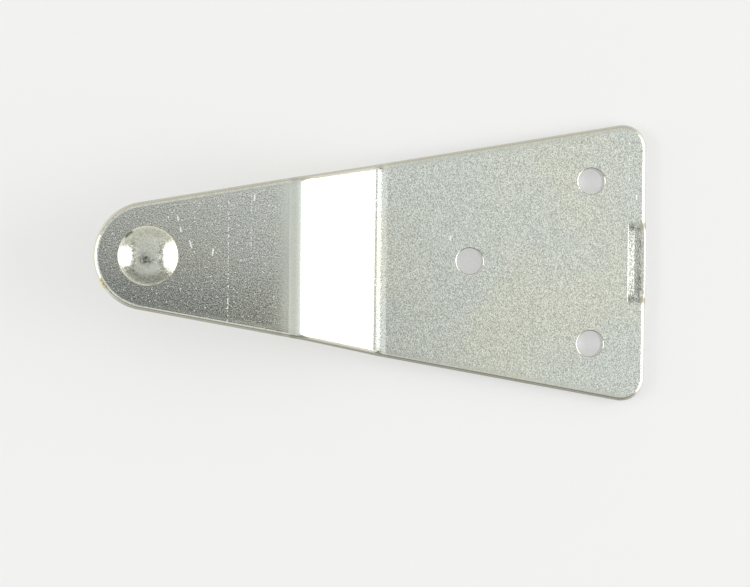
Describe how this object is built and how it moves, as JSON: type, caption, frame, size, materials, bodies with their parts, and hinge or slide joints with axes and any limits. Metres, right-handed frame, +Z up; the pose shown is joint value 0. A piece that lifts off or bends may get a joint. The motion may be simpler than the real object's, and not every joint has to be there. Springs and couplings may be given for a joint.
{
  "type": "offset door hinge plate with pin",
  "caption": "Tapered, offset-bent sheet steel hinge plate with a dome-headed pin staked through its round raised nose, screw holes in its flat and a shallow step pressed into the middle of its rear edge.",
  "frame": {"origin": "on the pin's axis, level with the mounting face, which is the underside of the plate's mounting flat", "axes": "+X from the pin towards the rear edge of the plate, +Y across the plate, +Z up through the pin's domed head"},
  "size_m": [0.1268, 0.0648, 0.0275],
  "materials": {
    "plated_sheet": "bright zinc plating over rolled sheet, fine satin grain with a faint yellow-green tint and short scratches",
    "plated_pin": "bright zinc plating over a peened head, a little smoother than the sheet"
  },
  "bodies": {
    "root": {"hinge_plate": "plated_sheet", "hinge_pin": "plated_pin"}
  },
  "joints": []
}
